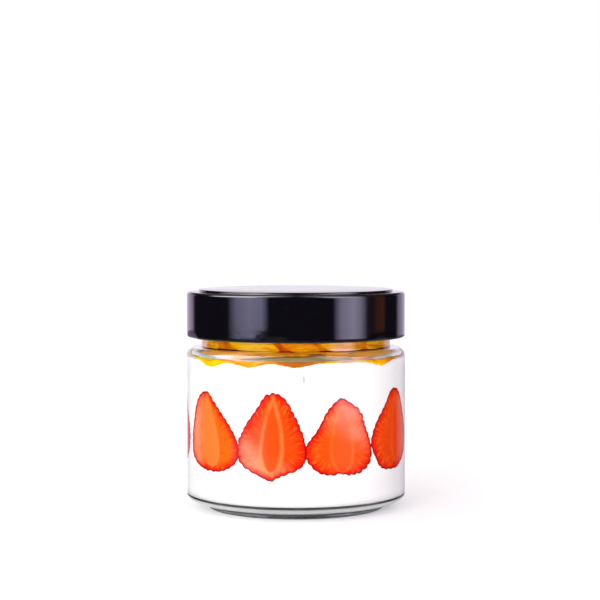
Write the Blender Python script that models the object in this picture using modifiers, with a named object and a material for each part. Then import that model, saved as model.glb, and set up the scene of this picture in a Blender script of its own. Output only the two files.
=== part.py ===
"""A low round glass jar of layered dessert, shut with a deep black twist lid.

The jar holds white cream. A ring of strawberry slices stands tip up with the cut faces against the
glass, and a heap of soft orange fruit slices lies on the cream and fills the neck under the lid. A
strip of the same fruit lies round the top edge of the cream.

Metres, +Z up. The origin is the middle of the ring that the jar stands on, and -Y is the front.
An angle round the jar starts at the front and grows towards +X.
"""

import math

import bmesh
import bpy

MM = 0.001
GAP = 0.3 * MM  # kept between any two solids that touch in the real jar

# The glass
BODY_RADIUS = 43.25 * MM
BODY_INNER_RADIUS = 40.3 * MM
NECK_RADIUS = 37.4 * MM
NECK_INNER_RADIUS = 34.8 * MM
NECK_FILLET = 0.4 * MM
RIM_HEIGHT = 84.0 * MM
SHOULDER_TOP = 63.4 * MM
SHOULDER_ROUND = 3.0 * MM
INNER_SHOULDER = (59.2 * MM, 65.6 * MM)  # where the inside leaves the body and reaches the neck
FOOT_OUTER = 34.4 * MM
FOOT_INNER = 32.2 * MM
FOOT_ROUND = 0.9 * MM
HEEL_START = 5.4 * MM
HEEL_END = (36.2 * MM, 1.7 * MM)  # the heel curves in to this radius and height above the foot
PUSH_UP = 2.0 * MM
FLOOR_HEIGHT = 5.2 * MM
FLOOR_ROUND = 3.2 * MM
GLASS_STEPS = 52

# The lid
LID_RADIUS = 43.2 * MM
LID_BOTTOM = 67.3 * MM
LID_TOP = 86.2 * MM
LID_SHEET = 0.6 * MM
LID_CORNER = 1.3 * MM
PANEL_RADIUS = 38.4 * MM
PANEL_RISE = 0.9 * MM
CURL_RADIUS = 1.15 * MM
LUG_COUNT = 6
LUG_DEPTH = 0.5 * MM
LUG_HALF_WIDTH = 11.0  # degrees
LUG_REACH = 3.2 * MM
FIRST_LUG = 50.0  # degrees
LID_STEPS = 60

# The cream, and the strip of fruit let into its top edge
CREAM_TOP = 62.4 * MM
CREAM_LEVEL_RADIUS = 35.8 * MM
CREAM_EDGE = (38.2 * MM, 60.9 * MM)  # the top slopes down to this radius and height
CREAM_WALL_TOP = 54.0 * MM
CREAM_STEPS = 84
STRIP_INNER_RADIUS = 38.5 * MM
STRIP_TOP = 60.6 * MM
STRIP_BASE = 59.9 * MM
STRIP_DROPS = (2.7, 1.8, 1.2, 0.1, 3.0, 0.0, 0.0, 2.6, 1.3, 2.2, 1.0, 1.9, 0.0, 0.0)  # mm, one a wave
WAVES_BEFORE_FRONT = 2  # the drop at the front is the third one

# The heap of fruit
FRUIT_CORE_TOP = 71.0 * MM
FRUIT_CORE_ROUND = 1.5 * MM
FRUIT_RELIEF = 0.9 * MM
FRUIT_SWELL = 0.9 * MM  # the heap swells this much just below the neck
SWELL_HEIGHT = 1.0 * MM
GOLDEN_ANGLE = 137.508  # degrees
HEAP_STEPS = 56

# The slices round the heap: segments, how square their ends are, and how they curve back
WALL_SLICE_ROUND = (10, 5)
WALL_SLICE_SQUARE = 0.8
WALL_SLICE_DEPTH = 3.0 * MM
WALL_SLICE_CURVE = 1.2
WALL_SLICES = (
    # middle and half length in degrees, height, half height in mm, rise along it, slant of its ends
    (-29.0, 18.6, 66.6, 3.4, -0.03, -1.3),
    (2.0, 10.8, 66.5, 3.4, 0.04, -1.4),
    (29.5, 15.6, 66.9, 3.3, 0.02, -1.0),
    (66.0, 19.6, 66.6, 3.4, -0.04, 0.8),
    (104.0, 17.4, 66.8, 3.3, 0.05, 1.0),
    (140.0, 17.8, 66.5, 3.4, -0.03, -0.9),
    (176.0, 17.2, 66.8, 3.4, 0.03, 1.1),
    (213.0, 18.8, 66.6, 3.3, -0.05, -1.0),
    (250.0, 17.4, 66.9, 3.4, 0.03, 0.9),
    (287.0, 18.4, 66.5, 3.4, -0.02, -1.2),
)

# The slices that lie on the heap
TOP_SLICES = 6
TOP_SLICE_ROUND = (8, 5)
TOP_SLICE_REACH = 19.5 * MM
TOP_SLICE_HALF = (13.5 * MM, 7.5 * MM, 3.6 * MM)
TOP_SLICE_BEND = 3.0 * MM
TOP_SLICE_LIFT = 1.0 * MM
TOP_SLICE_TILT = 0.10
TOP_SLICE_YAW = 1.6  # turns of yaw for each turn round the heap

# The strawberry slices: the middle of each one round the jar, its foot and its height, and the half
# widths of its left and right sides, six on each side from the foot to the tip.
SLICE_THICKNESS = 5.0 * MM
SLICE_ROUND = (18, 8)  # segments round the outline and from front to back
SLICE_OVERRUN = 0.9 * MM  # a recess in the cream runs this far out past the wall
SLICE_MIDDLE = 0.40  # share of the height where the slice is thickest
SLICE_BACK = (0.6, 0.8)  # how round the back is across and in depth
WIDTH_TURNS = 75.0  # degrees below and above the middle where the first and last widths are
DENT_WIDTH = 8.0  # mm
STRAWBERRIES = (
    # angle, foot, height, lean, left half widths, right half widths, dent in the foot
    (-93.0, 16.9, 30.8, 0.0, (9.0, 13.0, 13.2, 10.6, 9.0, 8.0), (8.0, 13.0, 13.0, 10.4, 8.6, 8.0), 0.0),
    (-52.7, 16.2, 31.6, -2.6, (10.6, 15.6, 13.2, 10.8, 10.3, 11.0), (12.0, 16.4, 14.4, 10.6, 6.4, 4.4), 1.3),
    (-12.5, 15.4, 33.2, 0.8, (6.5, 14.8, 13.8, 10.2, 7.2, 8.1), (4.0, 14.1, 12.5, 9.8, 8.4, 8.6), 0.0),
    (24.4, 15.4, 31.1, 0.4, (11.0, 14.1, 13.9, 8.8, 7.4, 8.0), (14.0, 16.3, 13.4, 10.4, 9.4, 6.0), 2.4),
    (65.4, 17.0, 31.6, -1.0, (24.0, 16.7, 15.0, 12.0, 8.2, 9.0), (8.0, 12.8, 13.0, 9.6, 8.0, 8.0), 0.6),
    (105.0, 16.4, 31.8, 0.0, (8.5, 12.6, 12.4, 9.6, 7.8, 7.0), (9.0, 13.2, 12.6, 10.2, 8.4, 8.0), -1.2),
    (145.0, 17.2, 29.6, 1.0, (10.0, 13.6, 12.8, 10.8, 9.4, 9.0), (9.0, 13.0, 12.6, 10.0, 8.0, 7.2), 0.8),
    (185.0, 16.2, 32.4, -1.5, (7.0, 13.0, 13.0, 9.8, 7.6, 7.4), (9.0, 13.0, 12.4, 10.6, 9.2, 9.0), 0.0),
    (225.5, 16.7, 30.6, 0.8, (10.0, 13.4, 13.0, 10.2, 8.2, 7.0), (8.0, 13.2, 12.8, 9.4, 7.4, 8.0), -1.0),
)


def start_empty():
    for thing in list(bpy.data.objects):
        bpy.data.objects.remove(thing)


def make_collection(name):
    group = bpy.data.collections.new(name)
    bpy.context.scene.collection.children.link(group)
    return group


def make_material(name, colour, roughness, metallic=0.0, transmission=0.0):
    material = bpy.data.materials.new(name)
    material.use_nodes = True
    shader = material.node_tree.nodes["Principled BSDF"]
    shader.inputs["Base Color"].default_value = (*colour, 1.0)
    shader.inputs["Roughness"].default_value = roughness
    shader.inputs["Metallic"].default_value = metallic
    shader.inputs["Transmission Weight"].default_value = transmission
    return material


def make_object(name, mesh, group, material=None):
    thing = bpy.data.objects.new(name, mesh)
    group.objects.link(thing)
    if material:
        mesh.materials.append(material)
    return thing


def finished_mesh(thing):
    """Applies an object's modifiers and returns it with the plain mesh."""
    graph = bpy.context.evaluated_depsgraph_get()
    mesh = bpy.data.meshes.new_from_object(thing.evaluated_get(graph))
    thing.modifiers.clear()
    thing.data = mesh
    return thing


def hide_cutter(thing):
    thing.hide_render = True
    thing.display_type = "WIRE"


def turned(name, profile, steps, group, material):
    """Turns a profile of (radius, height) points round Z."""
    mesh = bpy.data.meshes.new(name)
    points = [(radius, 0.0, height) for radius, height in profile]
    mesh.from_pydata(points, [(i, i + 1) for i in range(len(points) - 1)], [])
    thing = make_object(name, mesh, group, material)
    screw = thing.modifiers.new("Turn", "SCREW")
    screw.steps = steps
    screw.render_steps = steps
    screw.use_merge_vertices = True
    screw.merge_threshold = 0.00005
    screw.use_smooth_shade = True
    return thing


def arc(centre, radii, start, end, count):
    """Points on an ellipse from one angle to another, in degrees, as (radius, height)."""
    points = []
    for i in range(count + 1):
        turn = math.radians(start + (end - start) * i / count)
        points.append((centre[0] + radii[0] * math.cos(turn), centre[1] + radii[1] * math.sin(turn)))
    return points


def ease(share):
    share = min(max(share, 0.0), 1.0)
    return share * share * (3.0 - 2.0 * share)


def inner_radius(height):
    """The inside of the glass at a height: body, shoulder and neck."""
    low, high = INNER_SHOULDER
    share = ease((height - low) / (high - low))
    return BODY_INNER_RADIUS + (NECK_INNER_RADIUS - BODY_INNER_RADIUS) * share


def heights_up(low, high, count):
    return [low + (high - low) * i / count for i in range(count + 1)]


def round_jar(angle, radius, height):
    return (radius * math.sin(angle), -radius * math.cos(angle), height)


def angle_of(point):
    return math.atan2(point[0], -point[1])


# ---------------------------------------------------------------- glass


def make_jar(group):
    material = make_material("glass", (0.93, 0.96, 0.94), 0.03, transmission=1.0)
    floor_edge = BODY_INNER_RADIUS - FLOOR_ROUND
    inside = [(0.0, FLOOR_HEIGHT)]
    inside += arc((floor_edge, FLOOR_HEIGHT + FLOOR_ROUND), (FLOOR_ROUND, FLOOR_ROUND), -90, 0, 3)
    inside += [(inner_radius(height), height) for height in heights_up(*INNER_SHOULDER, 4)]
    lip = (NECK_RADIUS - NECK_INNER_RADIUS) / 2
    inside += arc((NECK_INNER_RADIUS + lip, RIM_HEIGHT - lip), (lip, lip), 180, 90, 2)
    outside = arc((NECK_INNER_RADIUS + lip, RIM_HEIGHT - lip), (lip, lip), 45, 0, 1)
    neck_corner = (NECK_RADIUS + NECK_FILLET, SHOULDER_TOP + NECK_FILLET)
    outside += arc(neck_corner, (NECK_FILLET, NECK_FILLET), 180, 270, 2)
    shoulder = (BODY_RADIUS - SHOULDER_ROUND, SHOULDER_TOP - SHOULDER_ROUND)
    outside += arc(shoulder, (SHOULDER_ROUND, SHOULDER_ROUND), 90, 0, 3)
    heel_radius, heel_low = HEEL_END
    outside += arc((heel_radius, HEEL_START), (BODY_RADIUS - heel_radius, HEEL_START - heel_low), 0, -90, 4)
    outside += arc((FOOT_OUTER, FOOT_ROUND), (FOOT_ROUND, FOOT_ROUND), 30, -90, 2)
    base = [(FOOT_INNER, 0.0), (FOOT_INNER - 3 * MM, 0.6 * PUSH_UP), (0.0, PUSH_UP)]
    return turned("jar", inside + outside + base, GLASS_STEPS, group, material)


# ---------------------------------------------------------------- lid


def lid_profile():
    """The lid's sheet from the middle of its top, down the outside, round the curl and back."""
    ring_top = LID_TOP - PANEL_RISE
    corner = (LID_RADIUS - LID_CORNER, ring_top - LID_CORNER)
    outside = [(0.0, LID_TOP), (PANEL_RADIUS - 0.6 * MM, LID_TOP)]
    outside += [(PANEL_RADIUS, LID_TOP - 0.25 * MM), (PANEL_RADIUS + PANEL_RISE, ring_top)]
    outside += arc(corner, (LID_CORNER, LID_CORNER), 90, 0, 3)
    curl = (LID_RADIUS - CURL_RADIUS, LID_BOTTOM + CURL_RADIUS)
    outside += [(LID_RADIUS, LID_BOTTOM + LUG_REACH)]
    outside += arc(curl, (CURL_RADIUS, CURL_RADIUS), 0, -180, 5)
    inner_wall_radius = LID_RADIUS - LID_SHEET
    inside = [(LID_RADIUS - 1.7 * CURL_RADIUS, curl[1] + CURL_RADIUS)]
    inside += [(inner_wall_radius, LID_BOTTOM + LUG_REACH + 0.5 * MM)]
    inside += [(inner_wall_radius, corner[1]), (corner[0], ring_top - LID_SHEET)]
    inside += [(PANEL_RADIUS + 0.5 * PANEL_RISE, ring_top - LID_SHEET)]
    inside += [(PANEL_RADIUS - LID_SHEET, LID_TOP - LID_SHEET), (0.0, LID_TOP - LID_SHEET)]
    return outside + inside


def press_lugs(mesh):
    """Presses the skirt's foot inwards at each lug."""
    for vertex in mesh.vertices:
        radius = math.hypot(vertex.co.x, vertex.co.y)
        fade = 1.0 - ease((vertex.co.z - LID_BOTTOM) / LUG_REACH)
        if fade <= 0.0 or radius < PANEL_RADIUS:
            continue
        turn = math.degrees(angle_of(vertex.co)) - FIRST_LUG
        pitch = 360.0 / LUG_COUNT
        off = abs((turn + pitch / 2) % pitch - pitch / 2)
        push = LUG_DEPTH * fade * ease(1.2 * (1.0 - off / LUG_HALF_WIDTH))
        vertex.co.x *= (radius - push) / radius
        vertex.co.y *= (radius - push) / radius


def make_lid(group):
    material = make_material("black lacquer", (0.012, 0.011, 0.014), 0.22)
    lid = turned("lid", lid_profile(), LID_STEPS, group, material)
    finished_mesh(lid)
    press_lugs(lid.data)
    return lid


# ---------------------------------------------------------------- what fills the jar


def strip_base(angle):
    """The wavy lower edge of the strip of fruit."""
    count = len(STRIP_DROPS)
    place = (angle / math.tau) * count
    wave = math.floor(place + 0.5)
    drop = STRIP_DROPS[(wave + WAVES_BEFORE_FRONT) % count] * MM
    return STRIP_BASE - drop * math.cos(math.pi * (place - wave)) ** 2


def side_width(widths, turn):
    """A side's half width at a turn from the foot to the tip: an ellipse as wide as its widths say."""
    last = len(widths) - 1
    place = last * (math.degrees(turn) + WIDTH_TURNS) / (2 * WIDTH_TURNS)
    place = min(max(place, 0.0), last)
    low = min(int(place), last - 1)
    share = place - low
    before, here, after, beyond = [widths[min(max(low + i, 0), last)] for i in (-1, 0, 1, 2)]
    slope = after - before
    bend = 2 * before - 5 * here + 4 * after - beyond
    twist = 3 * (here - after) + beyond - before
    return math.cos(turn) * (here + share * (slope + share * (bend + share * twist)) / 2)


def strawberry_outline(berry, turn):
    """A point on a slice's outline, in mm across and up, at a turn round it from its right side."""
    _, foot, height, lean, left, right, dent = berry
    share = (1.0 + math.sin(turn)) / 2.0
    upright = math.asin(max(-1.0, min(1.0, math.sin(turn))))
    side = 1.0 if math.cos(turn) >= 0.0 else -1.0
    across = side * side_width(right if side > 0 else left, upright)
    lift = dent * max(0.0, 1.0 - abs(across) / DENT_WIDTH) * (1.0 - share) ** 4
    return across + lean * (share - 0.5), foot + height * share + lift


def strawberry_mesh(name, berry, grow):
    """A ball pressed flat against the glass: front rings on the wall, back rings rounded off."""
    shape = bmesh.new()
    around, across_depth = SLICE_ROUND
    bmesh.ops.create_uvsphere(shape, u_segments=around, v_segments=across_depth, radius=1.0)
    middle = (0.0, berry[1] + SLICE_MIDDLE * berry[2])
    round_across, round_deep = SLICE_BACK
    for vertex in shape.verts:
        polar = math.acos(max(-1.0, min(1.0, vertex.co.z)))
        turn = math.atan2(vertex.co.y, vertex.co.x)
        if polar <= math.pi / 2 + 1e-6:
            scale = polar / (math.pi / 2)
            depth = -SLICE_OVERRUN * grow / GAP
        else:
            scale = math.sin(polar) ** round_across
            depth = (SLICE_THICKNESS + grow) * (-math.cos(polar)) ** round_deep
        edge = strawberry_outline(berry, turn)
        reach = math.hypot(edge[0] - middle[0], edge[1] - middle[1])
        scale *= 1.0 + grow / MM / max(reach, 1.0)
        along = middle[0] + scale * (edge[0] - middle[0])
        height = (middle[1] + scale * (edge[1] - middle[1])) * MM
        angle = math.radians(berry[0]) + along * MM / BODY_INNER_RADIUS
        vertex.co = round_jar(angle, inner_radius(height) - GAP - depth, height)
    mesh = bpy.data.meshes.new(name)
    shape.to_mesh(mesh)
    shape.free()
    return mesh


def make_strawberries(group):
    material = make_material("strawberry flesh", (0.85, 0.06, 0.01), 0.35)
    for i, berry in enumerate(STRAWBERRIES):
        name = f"strawberry_{i + 1}"
        make_object(name, strawberry_mesh(name, berry, 0.0), group, material)


def make_cream(group, cutters):
    """The cream, with a step round its top edge for the strip of fruit and a recess for each slice."""
    material = make_material("cream", (0.93, 0.92, 0.90), 0.45)
    low = FLOOR_HEIGHT + GAP
    edge = BODY_INNER_RADIUS - GAP
    inner_side = CREAM_EDGE[0]
    profile = [(0.0, CREAM_TOP), (CREAM_LEVEL_RADIUS, CREAM_TOP), CREAM_EDGE]
    profile += [(inner_side, STRIP_BASE), (edge, STRIP_BASE), (edge, CREAM_WALL_TOP)]
    profile += arc((edge - FLOOR_ROUND, low + FLOOR_ROUND), (FLOOR_ROUND, FLOOR_ROUND), 0, -90, 3)
    profile += [(0.0, low)]
    cream = finished_mesh(turned("cream", profile, CREAM_STEPS, group, material))
    for vertex in cream.data.vertices:
        if abs(vertex.co.z - STRIP_BASE) < 0.01 * MM:
            angle = angle_of(vertex.co)
            height = strip_base(angle) - GAP
            radius = math.hypot(vertex.co.x, vertex.co.y)
            vertex.co = round_jar(angle, min(radius, inner_radius(height) - GAP), height)
    for i, berry in enumerate(STRAWBERRIES):
        name = f"recess_{i + 1}"
        cutter = make_object(name, strawberry_mesh(name, berry, GAP), cutters)
        hide_cutter(cutter)
        cut = cream.modifiers.new(name, "BOOLEAN")
        cut.operation = "DIFFERENCE"
        cut.object = cutter
    return cream


# ---------------------------------------------------------------- fruit on top


def make_strip(group, material):
    """The strip of fruit between the cream and the glass, wavy below."""
    points, faces = [], []
    for i in range(CREAM_STEPS):
        angle = math.tau * i / CREAM_STEPS
        base = strip_base(angle)
        points.append(round_jar(angle, inner_radius(STRIP_TOP) - GAP, STRIP_TOP))
        points.append(round_jar(angle, inner_radius(base) - GAP, base))
        points.append(round_jar(angle, STRIP_INNER_RADIUS, base))
        points.append(round_jar(angle, STRIP_INNER_RADIUS, STRIP_TOP))
        here, there = 4 * i, 4 * ((i + 1) % CREAM_STEPS)
        for side in range(4):
            after = (side + 1) % 4
            faces.append((here + side, here + after, there + after, there + side))
    mesh = bpy.data.meshes.new("fruit_strip")
    mesh.from_pydata(points, [], faces)
    return make_object("fruit_strip", mesh, group, material)


def heap_radius(height):
    """How far out the fruit lies: on the glass in the neck, and a little further below it."""
    swell = FRUIT_SWELL * ease((INNER_SHOULDER[1] + SWELL_HEIGHT - height) / SWELL_HEIGHT)
    return min(inner_radius(height), NECK_INNER_RADIUS + swell) - GAP


def wall_slice(group, place):
    """A soft slice that lies round the heap, against the neck."""
    middle, half_turn, level, half_height, rise, slant = place
    half_length = math.radians(half_turn) * BODY_INNER_RADIUS
    shape = bmesh.new()
    around, deep = WALL_SLICE_ROUND
    bmesh.ops.create_uvsphere(shape, u_segments=around, v_segments=deep, radius=1.0)
    for vertex in shape.verts:
        across, up, out = vertex.co.x, vertex.co.y, vertex.co.z
        height = half_height * MM * math.copysign(abs(up) ** WALL_SLICE_SQUARE, up)
        along = half_length * math.copysign(abs(across) ** WALL_SLICE_SQUARE, across) + slant * height
        height += level * MM + rise * along
        angle = math.radians(middle) + along / BODY_INNER_RADIUS
        depth = WALL_SLICE_DEPTH * (1.0 - out) ** WALL_SLICE_CURVE
        vertex.co = round_jar(angle, heap_radius(height) - depth, height)
    mesh = bpy.data.meshes.new("slice")
    shape.to_mesh(mesh)
    shape.free()
    make_object("slice", mesh, group)


def top_slice(group, number):
    """A slice lying on the heap under the lid."""
    shape = bmesh.new()
    around, deep = TOP_SLICE_ROUND
    bmesh.ops.create_uvsphere(shape, u_segments=around, v_segments=deep, radius=1.0)
    turn = math.radians(GOLDEN_ANGLE * number)
    yaw = turn * TOP_SLICE_YAW
    reach = TOP_SLICE_REACH * math.sqrt((number + 0.5) / TOP_SLICES)
    half_length, half_width, half_height = TOP_SLICE_HALF
    for vertex in shape.verts:
        along = half_length * vertex.co.x
        across = half_width * vertex.co.y + TOP_SLICE_BEND * vertex.co.x**2
        x = reach * math.sin(turn) + along * math.cos(yaw) - across * math.sin(yaw)
        y = -reach * math.cos(turn) + along * math.sin(yaw) + across * math.cos(yaw)
        lift = TOP_SLICE_LIFT + half_height * vertex.co.z + TOP_SLICE_TILT * along
        vertex.co = (x, y, FRUIT_CORE_TOP + lift)
    mesh = bpy.data.meshes.new("slice")
    shape.to_mesh(mesh)
    shape.free()
    make_object("slice", mesh, group)


def keep_outer_skin(mesh):
    """Fills the hollows that joined slices seal between them, and drops loose scraps."""
    shape = bmesh.new()
    shape.from_mesh(mesh)
    left = set(shape.faces)
    skins = []
    while left:
        skin = {left.pop()}
        edge = list(skin)
        while edge:
            near = {face for side in edge.pop().edges for face in side.link_faces} & left
            left -= near
            skin |= near
            edge += near
        skins.append(skin)
    outer = max(skins, key=lambda skin: sum(face.calc_area() for face in skin))
    inner = [face for face in shape.faces if face not in outer]
    bmesh.ops.delete(shape, geom=inner, context="FACES")
    shape.to_mesh(mesh)
    shape.free()


def make_fruit(group, pieces):
    material = make_material("orange fruit", (0.90, 0.45, 0.02), 0.3)
    make_strip(group, material)
    low = CREAM_TOP + GAP
    heights = [FRUIT_CORE_TOP - FRUIT_CORE_ROUND, INNER_SHOULDER[1] + SWELL_HEIGHT, INNER_SHOULDER[1], low]
    wall = [(heap_radius(height) - FRUIT_RELIEF, height) for height in heights]
    profile = [(0.0, FRUIT_CORE_TOP), (wall[0][0] - FRUIT_CORE_ROUND, FRUIT_CORE_TOP)] + wall + [(0.0, low)]
    fruit = finished_mesh(turned("fruit", profile, HEAP_STEPS, group, material))
    for place in WALL_SLICES:
        wall_slice(pieces, place)
    for i in range(TOP_SLICES):
        top_slice(pieces, i)
    union = fruit.modifiers.new("Heap", "BOOLEAN")
    union.operation = "UNION"
    union.operand_type = "COLLECTION"
    union.collection = pieces
    finished_mesh(fruit)
    keep_outer_skin(fruit.data)
    for piece in list(pieces.objects):
        bpy.data.objects.remove(piece)
    return fruit


def make_part():
    start_empty()
    part = make_collection("dessert_jar")
    cutters = make_collection("cutters")
    pieces = make_collection("fruit_pieces")
    make_jar(part)
    make_lid(part)
    make_strawberries(part)
    make_cream(part, cutters)
    make_fruit(part, pieces)


make_part()
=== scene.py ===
import math
from collections import namedtuple

import bpy
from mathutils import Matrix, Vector, noise


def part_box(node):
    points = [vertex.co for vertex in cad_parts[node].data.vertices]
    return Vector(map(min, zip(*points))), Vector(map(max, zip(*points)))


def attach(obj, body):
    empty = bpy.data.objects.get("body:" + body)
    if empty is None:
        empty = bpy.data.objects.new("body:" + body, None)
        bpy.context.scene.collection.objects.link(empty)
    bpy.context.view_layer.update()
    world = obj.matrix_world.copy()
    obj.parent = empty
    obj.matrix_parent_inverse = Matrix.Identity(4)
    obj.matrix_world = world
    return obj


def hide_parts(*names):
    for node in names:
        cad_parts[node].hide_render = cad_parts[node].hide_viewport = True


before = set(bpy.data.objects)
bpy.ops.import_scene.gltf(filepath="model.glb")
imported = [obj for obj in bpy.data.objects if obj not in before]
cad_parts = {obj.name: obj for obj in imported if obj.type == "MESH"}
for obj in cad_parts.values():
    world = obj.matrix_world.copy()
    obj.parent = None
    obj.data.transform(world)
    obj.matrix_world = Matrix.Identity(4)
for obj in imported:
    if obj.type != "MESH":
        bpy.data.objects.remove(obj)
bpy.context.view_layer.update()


# ================================================================ the glass jar
# A low round jar of clear pressed glass, about 3 mm thick in the wall and thicker in the heel. The
# body turns in over a short round shoulder to a straight neck. It stands on a narrow ring round a
# shallow hollow, and two faint seams run up it where the halves of the mould met. The ring is
# painted grey: painted shade, for the dark under the jar seen through the heel.

MM = 0.001
BODY_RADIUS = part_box("jar")[1][0]
RIM_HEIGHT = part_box("jar")[1][2]
BODY_INNER_RADIUS = 40.3 * MM
NECK_RADIUS = 37.4 * MM
NECK_INNER_RADIUS = 34.8 * MM
NECK_FILLET = 0.4 * MM
SHOULDER_TOP = 63.4 * MM
SHOULDER_ROUND = 3.0 * MM
INNER_SHOULDER = (59.2 * MM, 65.6 * MM)  # where the inside leaves the body and reaches the neck
FOOT_OUTER = 34.4 * MM
FOOT_INNER = 32.2 * MM
FOOT_ROUND = 0.9 * MM
FOOT_HOLLOW = 1.2 * MM  # how far the foot's ring curves in to the hollow under the jar
HEEL_START = 5.4 * MM
HEEL_END = (36.2 * MM, 2.3 * MM)  # the heel curves in to this radius and height above the foot
FOOT_SHADE_TOP = 2.1 * MM  # painted shade: the glass is painted grey below this, for the dark under the jar
FOOT_SHADE_FADE = 0.3 * MM
WAVES_TOP = 57.0 * MM  # the glass is wavy below this, and smooth on the shoulder and the neck
WAVES_FADE = 12.0 * MM
PUSH_UP = 2.0 * MM
FLOOR_HEIGHT = 5.2 * MM
FLOOR_ROUND = 3.2 * MM
SEAMS = (4.0, 184.0)  # degrees round the jar from the front
SEAM_HEIGHT = 0.05 * MM
SEAM_WIDTH = 0.35  # degrees
SEAM_DROP = (52.4 * MM, 55.6 * MM)  # where the seams swell into a drop; the front one's drop is painted grey
SEAM_DROP_X = BODY_RADIUS * math.sin(math.radians(SEAMS[0]))
SEAM_GREY_EDGE = (0.2 * MM, 0.5 * MM)  # the painted grey clears between these distances from its middle
SEAM_GREY_FADE = 0.5 * MM  # and over this distance at its two ends
SEAM_GREY_FRONT = (-0.9 * BODY_RADIUS, 0.0)  # it is on the front alone
STRAIGHT_EDGE = 0.2 * MM  # a row of points this far from each curve keeps the straight walls straight
GLASS_STEPS = 320


def ease(share):
    share = min(max(share, 0.0), 1.0)
    return share * share * (3.0 - 2.0 * share)


def arc(centre, radii, start, end, count):
    """Points on an ellipse from one angle to another, in degrees, as (radius, height)."""
    points = []
    for i in range(count + 1):
        turn = math.radians(start + (end - start) * i / count)
        points.append((centre[0] + radii[0] * math.cos(turn), centre[1] + radii[1] * math.sin(turn)))
    return points


def inner_radius(height):
    """The inside of the glass at a height: body, shoulder and neck."""
    low, high = INNER_SHOULDER
    share = ease((height - low) / (high - low))
    return BODY_INNER_RADIUS + (NECK_INNER_RADIUS - BODY_INNER_RADIUS) * share


def round_jar(angle, radius, height):
    """The point at an angle round the jar, which starts at the front and grows towards +X."""
    return (radius * math.sin(angle), -radius * math.cos(angle), height)


def turned(name, profile, angles, shape=None):
    """A closed piece turned from (radius, height) points, the first and the last on the axis."""
    points = [(0.0, 0.0, profile[0][1]), (0.0, 0.0, profile[-1][1])]
    rings = profile[1:-1]
    for angle in angles:
        for radius, height in rings:
            if shape:
                radius, height = shape(angle, radius, height)
            points.append(round_jar(angle, radius, height))
    faces = []
    for i in range(len(angles)):
        here = 2 + i * len(rings)
        there = 2 + (i + 1) % len(angles) * len(rings)
        faces.append((0, here, there))
        for j in range(len(rings) - 1):
            faces.append((here + j, here + j + 1, there + j + 1, there + j))
        faces.append((here + len(rings) - 1, 1, there + len(rings) - 1))
    mesh = bpy.data.meshes.new(name)
    mesh.from_pydata(points, [], faces)
    return mesh


def even_angles(count):
    return [math.tau * i / count for i in range(count)]


def add_object(name, data):
    item = bpy.data.objects.new(name, data)
    bpy.context.scene.collection.objects.link(item)
    return item


def add_piece(mesh, material, node):
    """Puts a piece in the scene on the part's one body, in place of the node that it stands for."""
    piece = add_object(mesh.name, mesh)
    mesh.materials.append(material)
    mesh.shade_smooth()
    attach(piece, "root")
    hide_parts(node)


def colour(red, green, blue):
    """A colour picked on a 0 to 255 scale, as the shaders want it."""
    return tuple(((part / 255 + 0.055) / 1.055) ** 2.4 for part in (red, green, blue)) + (1.0,)


def add_node(tree, kind, inputs=None, **settings):
    """Adds a node. An input is set to a plain value, or linked if it is given an output socket."""
    node = tree.nodes.new(kind)
    for key, value in settings.items():
        setattr(node, key, value)
    for key, value in (inputs or {}).items():
        if isinstance(value, bpy.types.NodeSocket):
            tree.links.new(value, node.inputs[key])
        else:
            node.inputs[key].default_value = value
    return node


def remap(tree, value, low, high, start=0.0, end=1.0):
    """A soft step: start where the value is low, end where it is high."""
    inputs = {"Value": value, "From Min": low, "From Max": high, "To Min": start, "To Max": end}
    return add_node(tree, "ShaderNodeMapRange", inputs, interpolation_type="SMOOTHSTEP").outputs["Result"]


def blend(tree, factor, first, second):
    """One colour over another. A Mix node keeps its colours in sockets 6 and 7, and its result in 2."""
    inputs = {0: factor, 6: first, 7: second}
    return add_node(tree, "ShaderNodeMix", inputs, data_type="RGBA").outputs[2]


def math_node(tree, operation, first, second=0.0):
    return add_node(tree, "ShaderNodeMath", {0: first, 1: second}, operation=operation).outputs[0]


def product(tree, value, *factors):
    for factor in factors:
        value = math_node(tree, "MULTIPLY", value, factor)
    return value


def new_material(name):
    material = bpy.data.materials.new(name)
    material.use_nodes = True
    tree = material.node_tree
    return material, tree, tree.nodes["Principled BSDF"], tree.nodes["Material Output"]


def object_place(tree):
    return add_node(tree, "ShaderNodeTexCoord").outputs["Object"]


def noise_node(tree, place, scale, detail=3.0, roughness=0.5, distortion=0.0):
    inputs = {"Vector": place, "Scale": scale, "Detail": detail, "Roughness": roughness,
              "Distortion": distortion}
    return add_node(tree, "ShaderNodeTexNoise", inputs).outputs["Fac"]


def bump(tree, height, distance):
    return add_node(tree, "ShaderNodeBump", {"Height": height, "Distance": distance}).outputs["Normal"]


def node_group(name, given, results):
    """An empty group with a vector socket, number sockets and number results, and its two ends."""
    group = bpy.data.node_groups.new(name, "ShaderNodeTree")
    group.interface.new_socket("Place", in_out="INPUT", socket_type="NodeSocketVector")
    for label in given:
        group.interface.new_socket(label, in_out="INPUT", socket_type="NodeSocketFloat")
    for label in results:
        group.interface.new_socket(label, in_out="OUTPUT", socket_type="NodeSocketFloat")
    return group, add_node(group, "NodeGroupInput").outputs, add_node(group, "NodeGroupOutput").inputs


def mottle_group():
    """The soft unevenness that every finish here has, at two scales."""
    group, given, results = node_group("mottle", ("Broad Scale", "Fine Scale"), ("Broad", "Fine"))
    broad = noise_node(group, given["Place"], given["Broad Scale"], 2.0)
    fine = noise_node(group, given["Place"], given["Fine Scale"], 3.0)
    group.links.new(broad, results["Broad"])
    group.links.new(fine, results["Fine"])
    return group


MOTTLE = mottle_group()


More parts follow.
